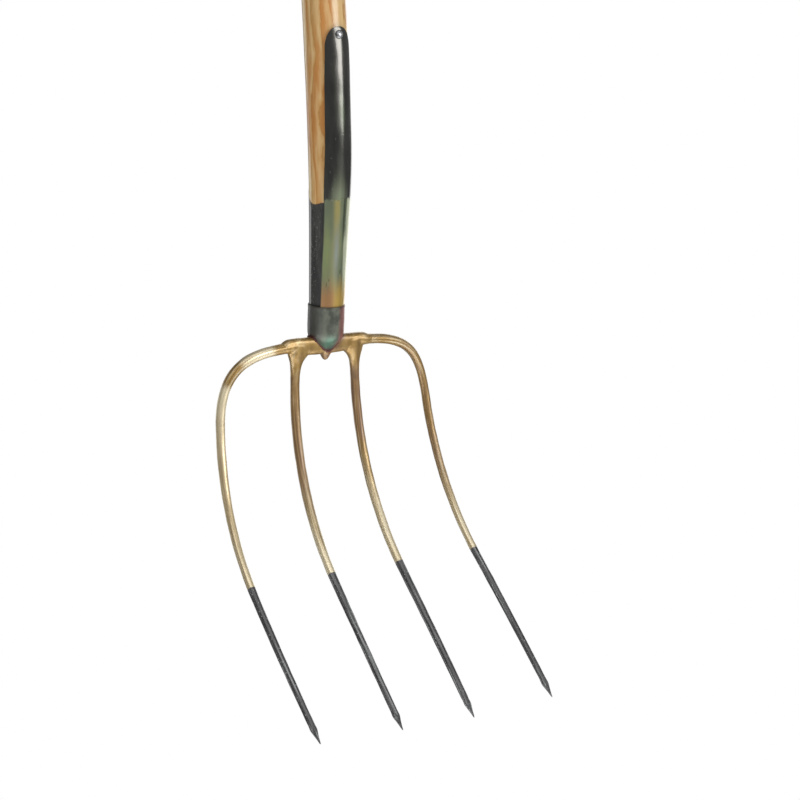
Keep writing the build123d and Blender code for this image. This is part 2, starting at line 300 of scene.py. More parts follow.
class Look:
    """One material's node tree, with short calls for the nodes that it uses."""

    def __init__(self, name):
        self.material = bpy.data.materials.new(name)
        self.tree = node_tree(self.material)
        self.place = self.stored("rest", "Vector")

    def add(self, kind, feeds, **settings):
        """A node whose inputs are joined to sockets or set to values."""
        node = self.tree.nodes.new("ShaderNode" + kind)
        for key, value in settings.items():
            setattr(node, key, value)
        for key, value in feeds.items():
            if isinstance(value, bpy.types.NodeSocket):
                self.tree.links.new(value, node.inputs[key])
            else:
                node.inputs[key].default_value = value
        return node

    def stored(self, name, out="Fac"):
        return self.add("Attribute", {}, attribute_name=name).outputs[out]

    def axes(self):
        return tuple(self.add("SeparateXYZ", {0: self.place}).outputs)

    def stretch(self, across, along, shift=(0, 0, 0)):
        """The rest place, scaled across the piece and along it."""
        feeds = {0: self.place, 1: (across, across, along), 2: shift}
        return self.add("VectorMath", feeds, operation="MULTIPLY_ADD").outputs[0]

    def noise(self, across, along, detail, shift=(0, 0, 0), roughness=0.55, warp=0.0):
        feeds = {"Vector": self.stretch(across, along, shift), "Scale": 1.0, "Detail": detail,
                 "Roughness": roughness, "Distortion": warp}
        return self.add("TexNoise", feeds).outputs["Fac"]

    def cells(self, across, along):
        feeds = {"Vector": self.stretch(across, along), "Scale": 1.0}
        return self.add("TexVoronoi", feeds).outputs["Distance"]

    def speckle(self, size, low, high):
        """Scattered small marks, 1 inside a mark."""
        picked = self.noise(0.31, 0.23, 2.0, (9, 2, 5))
        dots = self.window(self.cells(1 / size, 0.7 / size), 0.22, 0.10)
        return self.times(dots, self.window(picked, low, high))

    def math(self, how, a, b=0.0):
        return self.add("Math", {0: a, 1: b}, operation=how).outputs[0]

    def times(self, a, b):
        return self.math("MULTIPLY", a, b)

    def plus(self, a, b, factor=None):
        """a + b, or a + b * factor."""
        return self.math("ADD", a, b if factor is None else self.times(b, factor))

    def minus(self, a, b, factor=None):
        """a - b, or a - b * factor."""
        return self.math("SUBTRACT", a, b if factor is None else self.times(b, factor))

    def length(self, a, b):
        """Length of a vector with the sides a and b."""
        return self.math("SQRT", self.plus(self.times(a, a), self.times(b, b)))

    def window(self, value, low, high, start=0.0, end=1.0):
        """A smooth step from start to end as the value goes from low to high."""
        feeds = {"Value": value, "From Min": low, "From Max": high, "To Min": start, "To Max": end}
        return self.add("MapRange", feeds, interpolation_type="SMOOTHSTEP").outputs[0]

    def band(self, value, centre, half):
        """1 at the centre, falling smoothly to 0 at half a width away."""
        away = self.math("ABSOLUTE", self.minus(value, centre))
        return self.window(away, 0.0, half, 1.0, 0.0)

    def mix(self, share, a, b):
        """Colour from a to b, each a hex code or a node's colour."""
        a, b = (colour(value) if isinstance(value, str) else value for value in (a, b))
        return self.add("Mix", {0: share, 6: a, 7: b}, data_type="RGBA").outputs[2]

    def tint(self, base, mask, strength, other):
        """The base colour, turned towards another one where the mask is 1."""
        return self.mix(self.times(mask, strength), base, other)

    def ramp(self, value, stops):
        node = self.add("ValToRGB", {0: value})
        marks = node.color_ramp.elements
        while len(marks) < len(stops):
            marks.new(0.5)
        for mark, (place, code) in zip(marks, stops):
            mark.position = place
            mark.color = colour(code)
        return node.outputs[0]

    def bump(self, height, distance, strength):
        feeds = {"Height": height, "Distance": distance * MM, "Strength": strength}
        return self.add("Bump", feeds).outputs[0]

    def finish(self, tone, roughness, normal, **more):
        names = {key.replace("_", " "): value for key, value in more.items()}
        names.update({"Base Color": tone, "Roughness": roughness, "Normal": normal})
        shader = self.add("BsdfPrincipled", names)
        self.add("OutputMaterial", {0: shader.outputs[0]})
        return self.material


# ---- Materials ----
def ash_wood():
    """Lacquered ash: wavering growth rings, orange flames, pale patches, fibres and pores."""
    look = Look("ash_wood")
    x, y, _ = look.axes()
    wander = look.noise(0.018, 0.0125, 2.0, (3.1, 0.4, 7.7))
    sway = look.times(look.minus(wander, 0.5), 58.0)
    away_x = look.plus(look.plus(x, 26.0), sway)
    away_y = look.plus(look.minus(y, 30.0), sway, 0.6)
    ripple = look.noise(0.09, 0.020, 4.0)
    rings = look.plus(look.math("DIVIDE", look.length(away_x, away_y), 7.5), ripple, 2.2)
    ring = look.math("FRACT", rings)
    grain = look.ramp(ring, ((0.0, "b4854a"), (0.16, "c3965a"), (0.45, "d0ad74"), (0.74, "dabb86"),
                             (0.93, "cda669"), (1.0, "b4854a")))
    slow = look.noise(0.055, 0.008, 3.0, (0.5, 0.3, 4.2), 0.55, 0.6)
    warm = look.times(look.window(slow, 0.46, 0.60), look.window(ring, 0.75, 0.30, 0.45, 1.0))
    tone = look.tint(grain, warm, 0.75, "bd7834")
    tone = look.mix(look.window(slow, 0.46, 0.32, 0.0, 0.60), tone, "ecdba8")
    streaks = look.noise(0.7, 0.014, 5.0, roughness=0.7)
    tone = look.mix(look.window(streaks, 0.50, 0.74, 0.0, 0.35), tone, "b98048")
    pores = look.noise(3.4, 0.11, 2.0, (5, 1, 0))
    early = look.window(ring, 0.30, 0.0)
    pore = look.times(look.window(pores, 0.56, 0.70), look.plus(early, 0.18))
    tone = look.tint(tone, pore, 0.45, "8c5f35")
    normal = look.bump(look.minus(look.times(ring, 0.25), pore), 0.08, 0.3)
    shine = look.window(pores, 0.3, 0.75, 0.30, 0.46)
    return look.finish(tone, shine, normal, Coat_Weight=0.45, Coat_Roughness=0.14, Coat_IOR=1.5)


def black_lacquer():
    """Glossy black-grey lacquer with orange peel, pale specks that gather on its left side, and wear along
    the rim.
    """
    look = Look("black_lacquer")
    x, _, _ = look.axes()
    cloud = look.noise(0.10, 0.03, 4.0)
    tone = look.mix(look.window(cloud, 0.35, 0.65), "303130", "3d3e3b")
    # Pale specks, faint all over and strongest on the left side (x below -12.4).
    pale_specks = look.times(look.speckle(1.1, 0.46, 0.56), look.window(x, -12.4, -14.4, 0.03, 1.0))
    tone = look.mix(pale_specks, tone, "c2c4bf")
    grit = look.noise(0.6, 0.3, 3.0, (3, 3, 3))
    worn = look.window(look.plus(look.stored("edge"), grit, 2.4), 1.9, 0.9)
    tone = look.tint(tone, worn, 0.8, "8a5a3c")
    peel = look.noise(0.8, 0.5, 2.0)
    normal = look.bump(look.minus(peel, pale_specks), 0.05, 0.35)
    shine = look.window(cloud, 0.3, 0.7, 0.18, 0.30)
    return look.finish(tone, shine, normal, Specular_IOR_Level=0.55, Coat_Weight=0.5, Coat_Roughness=0.10)


def strap_finish():
    """The front strap: black lacquer above the rim, iridescent passivated steel below it, with a painted
    highlight, painted reflections and painted shade along its left edge.
    """
    look = Look("strap_finish")
    across = look.stored("across")
    _, _, h = look.axes()
    wave = look.noise(0.22, 0.05, 3.0)
    lower = look.window(look.plus(h, wave, 7.0), 128.2, 125.4)
    streak = look.noise(0.34, 0.010, 3.0, (2, 8, 0))
    soft = look.noise(0.10, 0.030, 2.0, (6, 1, 3))
    shift = look.plus(across, look.minus(streak, 0.5), 0.45)
    film = look.mix(look.window(soft, 0.36, 0.64), "6d7860", "848a66")
    # stains: centre and half width across the strap, how far along it, strength, colour
    for centre, half, along, strength, code in (
            (-0.64, 0.16, 1.0, 0.25, "6b6753"),
            (-0.26, 0.34, look.window(h, 84.0, 116.0, 0.25, 1.0), 0.85, "9d9155"),
            (-0.20, 0.30, look.band(h, 80.0, 32.0), 0.75, "87918f"),
            (-0.78, 0.30, look.band(h, 82.0, 34.0), 0.7, "84935f"),
            (0.34, 0.17, look.window(h, 84.0, 104.0, 0.3, 0.85), 1.0, "3b4637")):
        film = look.tint(film, look.times(look.band(shift, centre, half), along), strength, code)
    # Painted reflection along the right border of the tinted part, partly the film's own pale colour.
    bright = look.plus(shift, look.window(h, 100.0, 84.0, 0.0, 0.12))
    film = look.mix(look.window(bright, 0.46, 0.66, 0.0, 0.9), film, "dbe3c6")
    foot = look.window(look.plus(h, streak, 22.0), 74.0, 50.0)
    gold = look.mix(look.window(shift, -0.5, 0.1), "a4764a", "bd9a48")
    film = look.tint(film, foot, 0.9, gold)
    cloud = look.noise(0.12, 0.03, 4.0, (1, 1, 1))
    dark = look.mix(look.window(cloud, 0.35, 0.65), "222323", "2b2c2a")
    # Painted highlight: a greenish tail of the highlight across the middle of the black part, around h
    # 196.
    tint = look.times(look.band(shift, 0.02, 0.34), look.band(h, 196.0, 28.0))
    dark = look.tint(dark, tint, 0.9, "4f6048")
    # Painted reflection: a pale green-grey wedge on the black part just above the rim.
    off_middle = look.math("ABSOLUTE", look.plus(shift, 0.12))
    painted_reflection_wedge = look.minus(look.window(h, 160.0, 122.0, 0.0, 0.45), off_middle)
    glow = look.times(look.window(painted_reflection_wedge, -0.38, 0.6), look.window(h, 158.0, 124.0))
    dark = look.tint(dark, glow, 0.85, "858e74")
    pale_specks = look.speckle(1.2, 0.60, 0.70)
    dark = look.mix(pale_specks, dark, "b0b4ae")
    tone = look.mix(lower, dark, film)
    # Painted shade along the very left edge, partly the lacquer's own darker tone; the same mask also
    # lowers metal, specular and coat there.
    face = look.window(across, -1.0, -0.93)
    tone = look.mix(look.minus(1.0, face), tone, "353733")
    peel = look.noise(0.7, 0.25, 2.0)
    normal = look.bump(look.minus(peel, lower, 2.0), 0.06, 0.4)
    metal = look.times(look.times(lower, face), 0.45)
    shine = look.plus(look.window(cloud, 0.3, 0.7, 0.15, 0.24), lower, 0.12)
    return look.finish(tone, shine, normal, Metallic=metal,
                       Specular_IOR_Level=look.window(face, 0.0, 1.0, 0.2, 1.0),
                       Specular_Tint=(1.0, 0.96, 0.86, 1.0), Coat_Weight=look.times(face, 0.35),
                       Coat_Roughness=0.09, Coat_IOR=1.5)


def sleeve_finish():
    """Grey-green passivated steel with heat colours towards the welded foot, painted shade on its left
    side and a painted shadow line along its top lip.
    """
    look = Look("sleeve_finish")
    seam = look.stored("seam")
    x, _, h = look.axes()
    cloud = look.noise(0.14, 0.10, 4.0)
    tone = look.mix(look.window(cloud, 0.35, 0.66), "4a4e46", "6a6e62")
    # Painted shade: darker towards the left side.
    tone = look.mix(look.window(x, -8.5, -13.5, 0.0, 0.8), tone, "4a4b48")
    sway = look.plus(x, cloud, 5.0)
    tone = look.mix(look.window(sway, 4.0, 9.5, 0.0, 0.8), tone, "96605a")
    glow = look.times(look.band(h, 3.5, 10.0), look.band(x, -4.0, 8.5))
    tone = look.tint(tone, glow, 0.8, "5c8570")
    edge = look.window(look.plus(seam, cloud, 2.0), 4.6, 1.6)
    tone = look.tint(tone, edge, 0.85, "55302f")
    # Painted shadow line along the top lip, where the sleeve meets the tube.
    painted_lip_shadow = look.window(look.plus(h, cloud, 2.0), SLEEVE_TOP_H - 1.6, SLEEVE_TOP_H + 0.4)
    tone = look.tint(tone, painted_lip_shadow, 0.5, "4b4436")
    grit = look.noise(1.4, 1.4, 3.0)
    tone = look.mix(look.window(grit, 0.60, 0.75, 0.0, 0.35), tone, "2f332f")
    normal = look.bump(grit, 0.12, 0.5)
    shine = look.window(cloud, 0.3, 0.7, 0.34, 0.50)
    return look.finish(tone, shine, normal, Metallic=0.45, Coat_Weight=0.15, Coat_Roughness=0.25)


def forged_gold():
    """Gold-bronze lacquer on forged bar, tinted brown in places, with pale painted highlights and the
    points dipped black, their light streaks painted reflections.
    """
    look = Look("forged_gold")
    dip = look.stored("dip")
    heat = look.stored("brown_or_painted_highlight")
    drawing = look.stored("drawing")
    cloud = look.noise(0.16, 0.030, 3.0)
    fine = look.noise(0.9, 0.22, 4.0, (4, 4, 4), 0.65)
    streaks = look.noise(0.55, 0.016, 3.0, (8, 3, 6), 0.55)
    patches = look.noise(0.14, 0.075, 3.0, (2, 5, 3), 0.5)
    drawn = look.plus(patches, look.times(look.minus(streaks, patches), drawing))
    gold = look.ramp(cloud, ((0.0, "80622f"), (0.40, "94743a"), (0.55, "a5854a"), (0.72, "b69a5f"),
                             (1.0, "c8b07a")))
    # Painted highlight: paler cream towards the black dip, where the lower tines face up into the light.
    pale = look.window(look.plus(dip, cloud, 60.0), -95.0, 10.0)
    gold = look.tint(gold, pale, 0.75, "e1d2ae")
    gold = look.mix(look.window(drawn, 0.50, 0.68, 0.0, 0.65), gold, "7c6138")
    lines = look.times(look.window(drawn, 0.48, 0.32), look.window(drawing, 0.0, 1.0, 0.15, 0.6))
    gold = look.mix(lines, gold, "efe5c9")
    # Painted highlights: pale cream where the stored value is below 0.
    gold = look.mix(look.window(heat, 0.0, -0.8, 0.0, 0.75), gold, "f5e9c8")
    brown = look.mix(look.window(drawn, 0.36, 0.62), "8f6f48", "664a38")
    share = look.window(look.plus(heat, look.minus(cloud, 0.5), 0.9), 0.22, 0.80)
    tone = look.tint(gold, share, 0.8, brown)
    red = look.window(look.plus(heat, cloud, 0.3), 1.2, 1.6)
    tone = look.tint(tone, red, 0.8, "96603a")
    tone = look.mix(look.window(fine, 0.62, 0.74, 0.0, 0.15), tone, "6f5638")
    edge = look.plus(dip, look.minus(fine, 0.5), 2.2)
    black = look.window(edge, -0.35, 0.35)
    ash = look.mix(look.window(cloud, 0.4, 0.62), "2d2d2e", "454547")
    dots = look.window(look.cells(0.55, 0.30), 0.26, 0.12)
    nibs = look.times(dots, look.window(fine, 0.44, 0.52))
    # Dust nibs, and long light streaks along the run that are painted reflections on the black dip.
    painted_reflection_streaks = look.noise(0.8, 0.018, 3.0, (7, 7, 1))
    marks = look.math("MAXIMUM", look.times(nibs, 0.8), look.window(painted_reflection_streaks, 0.53, 0.68, 0.0, 0.6))
    ash = look.mix(marks, ash, "a8aaab")
    tone = look.mix(black, tone, ash)
    height = look.plus(look.times(fine, 0.14), black, 0.6)
    normal = look.bump(look.plus(height, nibs, 0.5), 0.04, 0.5)
    shine = look.minus(look.window(fine, 0.3, 0.7, 0.36, 0.42), black, 0.10)
    metal = look.times(look.minus(1.0, black), look.window(share, 0.0, 1.0, 0.62, 0.25))
    return look.finish(tone, shine, normal, Metallic=metal, Coat_Weight=0.6, Coat_Roughness=0.28)


def bright_rivet():
    """Hammered bright steel, dark with lacquer towards the edge of a head."""
    look = Look("bright_rivet")
    x, _, h = look.axes()
    away = look.length(x, look.minus(h, RIVET_H))
    fine = look.noise(1.3, 1.3, 3.0)
    tone = look.mix(look.window(fine, 0.35, 0.65), "8d8f92", "c9cbcc")
    rim = look.window(look.plus(away, fine), 2.7, 3.9)
    tone = look.tint(tone, rim, 0.85, "3a3a3a")
    shine = look.window(fine, 0.3, 0.7, 0.22, 0.40)
    return look.finish(tone, shine, look.bump(fine, 0.15, 0.6), Metallic=0.8)


def dark_weld():
    """Oxidised seam: dark red-brown with purple heat colours."""
    look = Look("dark_weld")
    fine = look.noise(0.55, 0.55, 4.0)
    tone = look.ramp(fine, ((0.25, "32201f"), (0.45, "4f2d29"), (0.60, "673832"), (0.78, "5c434a")))
    shine = look.window(fine, 0.3, 0.7, 0.35, 0.55)
    return look.finish(tone, shine, look.bump(fine, 0.25, 0.6), Metallic=0.45)


# ---- Handle ----
def make_handle(material):
    """The ash handle: tapered and bent at its foot, straight above, with a rounded end."""
    count, foot, bend_step, shaft_steps, dome_steps = 96, 92.0, 4.0, 70, 13
    inset, dome_inset = 0.10, 0.05
    dome_foot = HANDLE_TOP_H - HANDLE_DOME
    heights = [foot + bend_step * i for i in range(ceil((BEND_END_H - foot) / bend_step))]
    heights += [BEND_END_H + (dome_foot - BEND_END_H) * i / shaft_steps for i in range(shaft_steps + 1)]
    stations = [(h, body_radius(h) - inset) for h in heights]
    for i in range(1, dome_steps):
        tilt = pi / 2 * i / dome_steps
        h = dome_foot + (HANDLE_DOME - dome_inset) * sin(tilt)
        stations.append((h, (HANDLE_R - inset) * cos(tilt) ** 0.62))
    rest = []
    for h, radius in stations:
        for angle in around(count):
            away = radius - abs(rough((14 * cos(angle), 14 * sin(angle), h * 0.12), 11.0, 0.16))
            rest.append((away * cos(angle), away * sin(angle), h))
    faces = ring_faces(len(stations), count) + end_faces(len(stations), count)
    add_piece(mesh_on_handle("ash_handle", rest, faces), material, ["handle"])


# ---- Socket tube with its rear strap ----
def rim_height(y, reach):
    """Height of the scooped rim at depth y, between the level front and the rear strap."""
    share = (max(y, RIM_FRONT_Y) - RIM_CENTRE_Y) / reach
    return RIM_H + RIM_RISE * (1 - sqrt(max(1 - share * share, 0.0)))


def rim_angles(radius, reach, steps=34, rear_steps=12):
    """Angles of the tube's columns, in one run round the front; 0 is at the rear."""
    side_turn = acos((RIM_FRONT_Y - RIM_CENTRE_Y) / reach)
    angles = []
    for i in range(steps + 1):
        y = RIM_CENTRE_Y + reach * cos(side_turn * i / steps)
        angles.append(acos(max(min(y / radius, 1.0), -1.0)))
    last = angles[-1]
    angles += [last + (pi - last) * i / rear_steps for i in range(1, rear_steps + 1)]
    return angles + [2 * pi - angle for angle in reversed(angles[:-1])]


def make_tube(material):
    """The tube round the handle's foot, whose back rises into the rear strap."""
    foot, rows, lift, strap_columns = 24.0, 26, 30, 20
    whole_side = 9.0  # "edge" where the rim is far away
    radius = body_radius(RIM_H + 12)
    reach = radius * cos(REAR_ANGLE) - RIM_CENTRE_Y
    angles = rim_angles(radius, reach)
    strap_foot = RIM_H + RIM_RISE
    rest, edge = [], []

    def put(angle, h, below):
        rest.append((body_radius(h) * sin(angle), body_radius(h) * cos(angle), h))
        edge.append(below)

    for angle in angles:
        top = rim_height(radius * cos(angle), reach)
        for r in range(rows + 1):
            put(angle, foot + (top - foot) * r / rows, (top - foot) * (1 - r / rows))
    faces = grid_faces(len(angles), rows + 1)
    # the rear strap, from the tube's foot to its round end, between the two rim ends
    first = len(rest)
    left_edge, right_edge = angles[-1] - 2 * pi, angles[0]
    for c in range(strap_columns + 1):
        angle = left_edge + (right_edge - left_edge) * (0.5 - 0.5 * cos(pi * c / strap_columns))
        x = REAR_HALF * sin(angle) / sin(right_edge)
        end = STRAP_TOP_H - REAR_HALF + sqrt(max(REAR_HALF ** 2 - x * x, 0.0))
        side = REAR_HALF - abs(x)
        for r in range(rows + 1):
            put(angle, foot + (strap_foot - foot) * r / rows, whole_side)
        for r in range(1, lift + 1):
            h = strap_foot + (end - strap_foot) * r / lift
            put(asin(x / HANDLE_R * blend(0.94, 1.0, r / lift)), h, min(side, end - h))
    faces += grid_faces(strap_columns + 1, rows + lift + 1, first)
    mesh = mesh_on_handle("socket_tube_fine", rest, [f[::-1] for f in faces], {"edge": edge})
    weld_close(mesh, 0.02)
    piece = add_piece(mesh, material, ["socket_tube"])
    sheet_metal(piece, TUBE_WALL, 0.35)


# ---- Front strap ----
def make_front_strap(material):
    """The long strap over the tube and the wood, with a round riveted end."""
    foot, columns, rows = 26.0, 28, 120
    inset, roundness = 0.12, 2.3
    shoulder_h, shoulder = STRAP_SIDE[-1]
    rest, across = [], []
    for c in range(columns + 1):
        share = -cos(pi * c / columns)
        end = shoulder_h + (STRAP_TOP_H - shoulder_h) * (1 - abs(share) ** roundness) ** (1 / roundness)
        for r in range(rows + 1):
            h = foot + (end - foot) * r / rows
            half = chain(STRAP_SIDE, h) if h < shoulder_h else shoulder
            swell = STRAP_SWELL * max(1 - ((h - SWELL_H) / SWELL_HALF) ** 2, 0.0) ** 2
            uneven = rough((half * share, 0, h), 16.0, 0.10)
            away = body_radius(h) + STRAP_T + swell - inset + uneven
            x = half * share
            rest.append((x, -sqrt(away * away - x * x), h))
            across.append(share)
    faces = grid_faces(columns + 1, rows + 1)
    mesh = mesh_on_handle("front_strap_fine", rest, faces, {"across": across})
    piece = add_piece(mesh, material, ["front_strap"])
    sheet_metal(piece, STRAP_T - 0.2, 0.6, 3)


# ---- Rivet and washer ----
def cap_rings(radius, height, foot, steps=12):
    """Profile of a domed head: (radius, height above its foot), from the rim to the crown."""
    rings = [(radius * 0.985, foot - 0.6), (radius, foot)]
    for i in range(1, steps):
        tilt = pi / 2 * i / steps
        rings.append((radius * cos(tilt) ** 0.8, foot + height * sin(tilt)))
    return rings


def make_cap(name, size, front, seed):
    """A hammered dome on the rivet's axis, on the front strap or over the washer."""
    count, sunk, inset = 40, 0.4, 0.06
    radius, height = size
    toward = -1 if front else 1
    foot = HANDLE_R + (STRAP_T if front else WASHER_T) - sunk
    profile = cap_rings(radius, height + sunk, foot)
    rest = []
    for away, out in profile:
        for angle in around(count):
            dent = rough((away * cos(angle), away * sin(angle), out), 1.7, 0.10, seed)
            up = -toward * away * sin(angle)
            rest.append((away * cos(angle), toward * (out + dent * 0.6 - inset), RIVET_H + up))
    rest.append((0, toward * (foot + height + sunk - inset), RIVET_H))
    crown = len(rest) - 1
    foot_face, top_face = end_faces(len(profile), count)
    faces = ring_faces(len(profile), count) + [foot_face]
    faces += [(a, b, crown) for a, b in zip(top_face, top_face[1:] + top_face[:1])]
    mesh = mesh_on_handle(name, rest, faces)
    weld_close(mesh)
    return mesh


def make_rivet(material):
    """Both heads of the rivet, and the washer; the wood hides the shank between them."""
    head = make_cap("rivet_head", RIVET_HEAD, True, 3.0)
    add_piece(head, material, ["strap_rivet"])
    tail = make_cap("rivet_tail", RIVET_TAIL, False, 8.0)
    add_piece(tail, material)
    make_washer(material)


def make_washer(material):
    """A thin washer bent round the rear strap."""
    count, rings, hole = 48, 6, 2.3
    rest = []
    for r in range(rings + 1):
        away = hole + (WASHER_R - hole) * r / rings
        for angle in around(count):
            x = away * cos(angle)
            rest.append((x, sqrt((HANDLE_R + WASHER_T) ** 2 - x * x), RIVET_H + away * sin(angle)))
    mesh = mesh_on_handle("washer", rest, [f[::-1] for f in ring_faces(rings + 1, count)])
    piece = add_piece(mesh, material, ["rivet_washer"])
    sheet_metal(piece, WASHER_T, 0.25)


# ---- Neck sleeve and its welded seam ----
BRIDGE_RIBS = ((-43.5, 1.3, 6.0, 6.4), (-40.5, 1.8, 8.8, 8.0), (-BRIDGE_END_X, 2.2, 10.6, 8.6),
               (-29.6, 1.2, 13.6, 9.0), (-14.8, 0.1, 15.0, 9.6), (0.0, 0.0, 15.2, 10.0),
               (14.8, 0.1, 15.0, 9.6), (29.6, 0.8, 12.6, 9.0), (BRIDGE_END_X, 1.8, 9.8, 8.4),
               (40.5, 1.5, 8.4, 7.8), (43.5, 1.1, 5.6, 6.0))  # x, middle, height and depth
BRIDGE_TOP = 7.6
BRIDGE_FRONT = 5.0
BRIDGE_COUNT = 32  # vertices round each solid
BAR_POWER = 2.2  # 2 is an oval section, more is squarer
BACKWARD = Vector((0, 1, 0))
UPWARD = Vector((0, 0, 1))
SEAM_SOFTNESS = 1.6
SLEEVE_INSET = 0.1


def cone_radius(h):
    """Radius of the sleeve's cone at height h."""
    (wide, top), (narrow, low) = CONE_TOP, CONE_FOOT
    return narrow + (wide - narrow) * (h - low) / (top - low)


def log_sum(a, b):
    """Smooth maximum of two numbers."""
    high = max(a, b)
    return high + log(exp(a - high) + exp(b - high))


def seam_height(angle):
    """Height at which the sleeve's surface leaves the bridge, at an angle from the front."""
    (wide, top), (narrow, low) = CONE_TOP, CONE_FOOT
    reach = BRIDGE_FRONT / max(abs(cos(angle)), 0.05)
    h = low + (reach - narrow) / (wide - narrow) * (top - low)
    return -SEAM_SOFTNESS * log_sum(-h / SEAM_SOFTNESS, -BRIDGE_TOP / SEAM_SOFTNESS)


def above_seam(p):
    """How far a point of the sleeve lies above its seam."""
    forward = -(p.y + SLEEVE_FORWARD)
    angle = acos(max(min(forward / max(hypot(p.x, forward), 0.1), 1.0), -1.0))
    return p.z - seam_height(angle)


def make_sleeve(material):
    """The collar at the neck: a rolled lip, a nearly straight wall and a cone."""
    count = 120
    lip = ((13.9, 2.5), (14.4, 0.3), (14.8, 0.05), (15.15, 0.2), (15.35, 0.7), (15.3, 1.8), (15.15, 3.5))
    profile = [(radius, SLEEVE_TOP_H - below) for radius, below in lip]
    wall_foot, barrel = 14.0, 0.10
    wall_r, wall_top = profile[-1]
    for i in range(1, 9):
        h = wall_top + (wall_foot - wall_top) * i / 8
        profile.append((wall_r + barrel * sin(i / 8 * pi), h))
    profile += [(15.12, 12.0), (15.0, 10.2), (14.75, 8.6), (14.35, 7.2), (13.85, 5.9), (13.2, 4.7)]
    profile += [(cone_radius(h) - SLEEVE_INSET, h) for h in (3.4, 2.2, 1.0, -0.6, -2.2, -3.8, -5.2)]
    points, faces = lathe(profile, count, -SLEEVE_FORWARD, 0.07, 2.0)
    faces.append(end_faces(len(profile), count)[1])
    mesh = make_mesh("neck_sleeve_fine", points, faces, points, {"seam": [above_seam(p) for p in points]})
    weld_close(mesh)
    add_piece(mesh, material, ["neck_sleeve"])


def make_weld(material):
    """The oxidised bead where the sleeve meets the bridge."""
    count, rings, bead, step = 10, 180, 0.75, 0.01
    wide, cone_h = CONE_TOP
    points = []
    for angle in around(rings):
        h = seam_height(angle)
        reach = (cone_radius(h) if h < cone_h else wide) - SLEEVE_INSET
        spot = Vector((reach * sin(angle), -SLEEVE_FORWARD - reach * cos(angle), h))
        out = Vector((sin(angle), -cos(angle), -0.35)).normalized()
        climb = (seam_height(angle + step) - h) / step
        side = Vector((cos(angle) * reach, sin(angle) * reach, climb)).normalized().cross(out)
        size = bead + rough(spot, 2.2, 0.35, 5.0)
        points += [spot + (out * cos(turn) + side * sin(turn)) * size for turn in around(count)]
    last = (rings - 1) * count
    faces = ring_faces(rings, count)
    faces += [(last + k, last + (k + 1) % count, (k + 1) % count, k) for k in range(count)]
    mesh = make_mesh("neck_weld", points, faces, points)
    weld_close(mesh)
    add_piece(mesh, material)


# ---- Bridge ----
def oval(normal, side, centre, deep, wide, power, count=BRIDGE_COUNT):
    """A ring of a rounded-square section."""
    ring = []
    for angle in around(count):
        a, b = (copysign(abs(part) ** (2 / power), part) for part in (cos(angle), sin(angle)))
        ring.append(centre + normal * (a * deep) + side * (b * wide))
    return ring


def solid_of(rings):
    """Points and faces of a closed lofted solid."""
    count = len(rings[0])
    faces = ring_faces(len(rings), count) + end_faces(len(rings), count)
    return [p for ring in rings for p in ring], faces


def law_x(law, u):
    """X of a tine's centre and its slope at u."""
    a, b, c = law
    bow = max(u - BOW_START_U, 0.0)
    return a + b * u + c * bow * bow, b + 2 * c * bow


def arm_u(x):
    """U of an outer tine's arm at x."""
    return ARM_START_U + (x - BRIDGE_END_X) * tan(ARM_SLOPE)


def columns_at(table, at):
    """The values of a table's columns at a place in its first column, on curves."""
    return [chain([(row[0], row[k]) for row in table], at) for k in range(1, len(table[0]))]


def crossbar_solid(steps=64):
    """The bar across the head, on its ribs."""
    rings = []
    end = BRIDGE_RIBS[-1][0]
    for i in range(steps + 1):
        x = end * (2 * i / steps - 1)
        middle, tall, deep = columns_at(BRIDGE_RIBS, x)
        centre = Vector((x, -TINE_FORWARD, middle))
        rings.append(oval(BACKWARD, UPWARD, centre, deep / 2, tall / 2, 3.0))
    return solid_of(rings)


def flare_solid(side, law, steps=31):
    """An inner tine's root, which spreads into the crossbar."""
    flare = ((-2.0, 8.2, 13.2, 4.9), (2.0, 8.2, 13.0, 4.9), (5.0, 7.9, 12.3, 4.9), (8.2, 7.0, 10.2, 4.6),
             (10.0, 6.3, 8.4, 4.4), (11.7, 5.7, 7.0, 4.2), (13.5, 5.2, 6.0, 4.1), (15.9, 4.7, 5.1, 4.0),
             (20.0, 4.2, 4.3, 3.95), (ROOT_END_U, 3.9, 3.9, 3.9),
             (ROOT_END_U + 5, 3.5, 3.5, 3.5))  # u, reach outwards, reach inwards, half depth
    rings = []
    for i in range(steps + 1):
        u = flare[0][0] + (flare[-1][0] - flare[0][0]) * i / steps
        x, slope = law_x(law, u)
        outwards, inwards, deep = columns_at(flare, u)
        x += (outwards - inwards) / 2
        centre, normal, sideways = blank_frame(side * x, u, side * slope, 1.0)
        rings.append(oval(normal, sideways, centre, deep, (outwards + inwards) / 2, BAR_POWER))
    return solid_of(rings)


def arm_solid(side, steps=11):
    """The start of an outer tine's arm, from inside the crossbar's end."""
    first, thinning, last = 30.0, 38.0, 48.0
    rings = []
    for i in range(steps + 1):
        x = first + (last - first) * i / steps
        centre, normal, sideways = blank_frame(side * x, arm_u(x), side * cos(ARM_SLOPE), sin(ARM_SLOPE))
        size = blend(4.9, 3.95, (x - thinning) / (last - thinning))
        rings.append(oval(normal, sideways, centre, size, size, BAR_POWER))
    return solid_of(rings)


def stub_solid():
    """The small pointed stub below the crossbar's middle."""
    profile = ((0.5, -13.2), (1.5, -12.9), (2.3, -12.1), (2.9, -11.1), (3.5, -9.9), (4.2, -8.6),
               (4.9, -7.0), (5.0, -4.0))
    points, faces = lathe(profile, BRIDGE_COUNT, -TINE_FORWARD)
    return points, faces + end_faces(len(profile), BRIDGE_COUNT)


